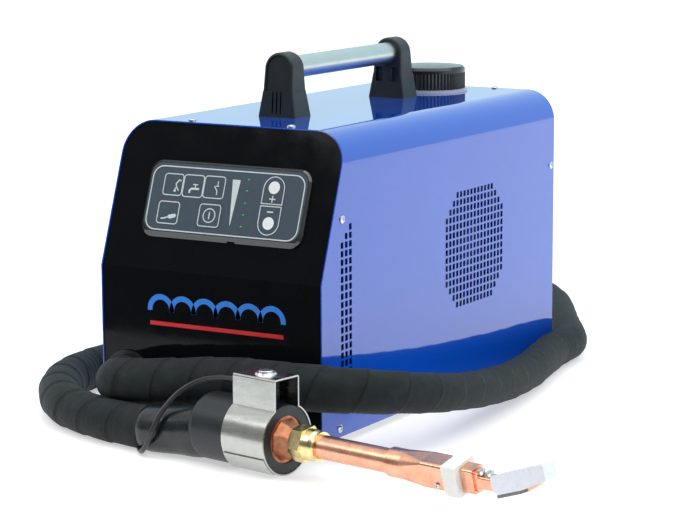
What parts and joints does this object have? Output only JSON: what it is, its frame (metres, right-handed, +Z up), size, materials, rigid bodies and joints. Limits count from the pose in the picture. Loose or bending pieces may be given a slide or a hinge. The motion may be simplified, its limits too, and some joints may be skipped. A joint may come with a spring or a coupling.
{
  "type": "portable induction heater",
  "caption": "Portable liquid-cooled induction heater in a folded metal case with carrying handle, wrapped hose and copper lance with a side inductor.",
  "frame": {"origin": "centre of the case footprint, on the floor that the rubber feet stand on", "axes": "+X to the right seen from the control panel, +Y towards the rear panel, +Z up"},
  "size_m": [0.6787, 0.9319, 0.3589],
  "materials": {
    "bezel_black": "gloss",
    "board_green": "lacquer",
    "brass": "polished",
    "button_chrome": "polished",
    "cap_black": "satin",
    "capacitor_sleeve": "sleeve",
    "case_blue": "glossy powder coat",
    "clip_steel": "brushed",
    "coil_white": "coated",
    "copper": "bright copper",
    "core_ferrite": "matte",
    "fan_black": "moulded",
    "ferrite_grey": "matte",
    "foot_rubber": "matte",
    "gland_black": "moulded",
    "grip_rubber": "satin",
    "hose_wrap": "wrapped sleeve",
    "insulator_white": "satin fluoropolymer",
    "key_slate": "satin film",
    "lead_black": "smooth",
    "led_green": "clear lens",
    "motor_grey": "satin",
    "neck_grey": "satin",
    "overlay_slate": "satin film",
    "panel_black": "gloss",
    "pump_black": "moulded",
    "radiator_aluminium": "plain",
    "rear_black": "satin",
    "screw_zinc": "bright zinc",
    "seal_rubber": "matte",
    "shank_plastic": "fine texture",
    "shrink_black": "smooth",
    "sink_aluminium": "extruded",
    "switch_black": "gloss",
    "tank_white": "translucent",
    "tray_zinc": "zinc plated",
    "tube_aluminium": "satin anodised",
    "winding_copper": "bare copper"
  },
  "bodies": {
    "case": {"button_ring": "button_chrome", "capacitor_bank": "capacitor_sleeve", "chassis_tray": "tray_zinc", "clamp_screws": "screw_zinc", "control_bezel": "bezel_black", "control_board": "board_green", "coolant_tank": "tank_white", "cover_screws_left": "screw_zinc", "cover_screws_right": "screw_zinc", "cover_screws_top": "screw_zinc", "cover_shell": "case_blue", "fan_frame": "fan_black", "ferrite_strip": "ferrite_grey", "filler_neck": "neck_grey", "foot_front_left": "foot_rubber", "foot_front_right": "foot_rubber", "foot_rear_left": "foot_rubber", "foot_rear_right": "foot_rubber", "front_panel": "panel_black", "handle_bolts": "screw_zinc", "handle_shank_front": "shank_plastic", "handle_shank_rear": "shank_plastic", "handle_tube": "tube_aluminium", "heat_shrink": "shrink_black", "heat_sink": "sink_aluminium", "hose_gland": "gland_black", "inductor_core": "coil_white", "inductor_lead": "copper", "insulator_block": "insulator_white", "inverter_board": "board_green", "lance_pipe": "copper", "lance_socket": "copper", "level_leds": "led_green", "main_switch_body": "switch_black", "mains_gland": "gland_black", "membrane_overlay": "overlay_slate", "power_hose": "hose_wrap", "pump_body": "pump_black", "pump_motor": "motor_grey", "radiator_core": "radiator_aluminium", "rear_panel": "rear_black", "socket_screw": "screw_zinc", "switch_clip": "clip_steel", "torch_adapter": "copper", "torch_grip": "grip_rubber", "transformer_core": "core_ferrite", "transformer_winding": "winding_copper", "trigger_lead": "lead_black", "trigger_switch": "switch_black"},
    "fan": {"fan_rotor": "fan_black"},
    "impeller": {"pump_impeller": "pump_black"},
    "cap_ring": {"cap_seal": "seal_rubber"},
    "cap": {"filler_cap": "cap_black"},
    "rocker": {"main_switch_rocker": "switch_black"},
    "plus": {"key_plus": "key_slate"},
    "minus": {"key_minus": "key_slate"},
    "power": {"key_power": "key_slate"},
    "thrust": {"thrust_ring": "brass"},
    "nut": {"union_nut": "brass"},
    "button": {"push_button": "button_chrome"}
  },
  "joints": [
    {"name": "cap_lift", "type": "slide", "parent": "case", "child": "cap_ring", "axis": [0, 0, 1], "range_m": [0, 0.01]},
    {"name": "cap_turn", "type": "hinge", "parent": "cap_ring", "child": "cap", "pos_m": [0, 0.1902, 0.2989], "axis": [0, 0, 1], "range_deg": [0, 900]},
    {"name": "nut_slide", "type": "slide", "parent": "case", "child": "thrust", "axis": [0.9842, -0.1771, 0], "range_m": [0, 0.0045]},
    {"name": "nut_turn", "type": "hinge", "parent": "thrust", "child": "nut", "pos_m": [0.15938, -0.33634, 0.0333], "axis": [0.9842, -0.1771, 0], "range_deg": [0, 1080]},
    {"name": "fan_spin", "type": "hinge", "parent": "case", "child": "fan", "pos_m": [0.105, 0.0598, 0.153], "axis": [1, 0, 0], "continuous": true},
    {"name": "impeller_spin", "type": "hinge", "parent": "case", "child": "impeller", "pos_m": [-0.07, 0.0832, 0.056], "axis": [0, 1, 0], "continuous": true},
    {"name": "rocker_tilt", "type": "hinge", "parent": "case", "child": "rocker", "pos_m": [0.062, 0.2418, 0.068], "axis": [1, 0, 0], "range_deg": [0, 14]},
    {"name": "plus_press", "type": "slide", "parent": "case", "child": "plus", "axis": [0, 0.9417, -0.3364], "range_m": [0, 0.0005], "stiffness_N_per_m": 800, "springref_m": -0.0015},
    {"name": "minus_press", "type": "slide", "parent": "case", "child": "minus", "axis": [0, 0.9417, -0.3364], "range_m": [0, 0.0005], "stiffness_N_per_m": 800, "springref_m": -0.0015},
    {"name": "power_press", "type": "slide", "parent": "case", "child": "power", "axis": [0, 0.9417, -0.3364], "range_m": [0, 0.0005], "stiffness_N_per_m": 800, "springref_m": -0.0015},
    {"name": "trigger_press", "type": "slide", "parent": "case", "child": "button", "axis": [0, 0, -1], "range_m": [0, 0.0015], "stiffness_N_per_m": 900, "springref_m": -0.002}
  ],
  "couplings": [
    {"joint": "cap_lift", "follows": "cap_turn", "m_per_rad": 0.000636},
    {"joint": "nut_slide", "follows": "nut_turn", "m_per_rad": 0.000238}
  ]
}
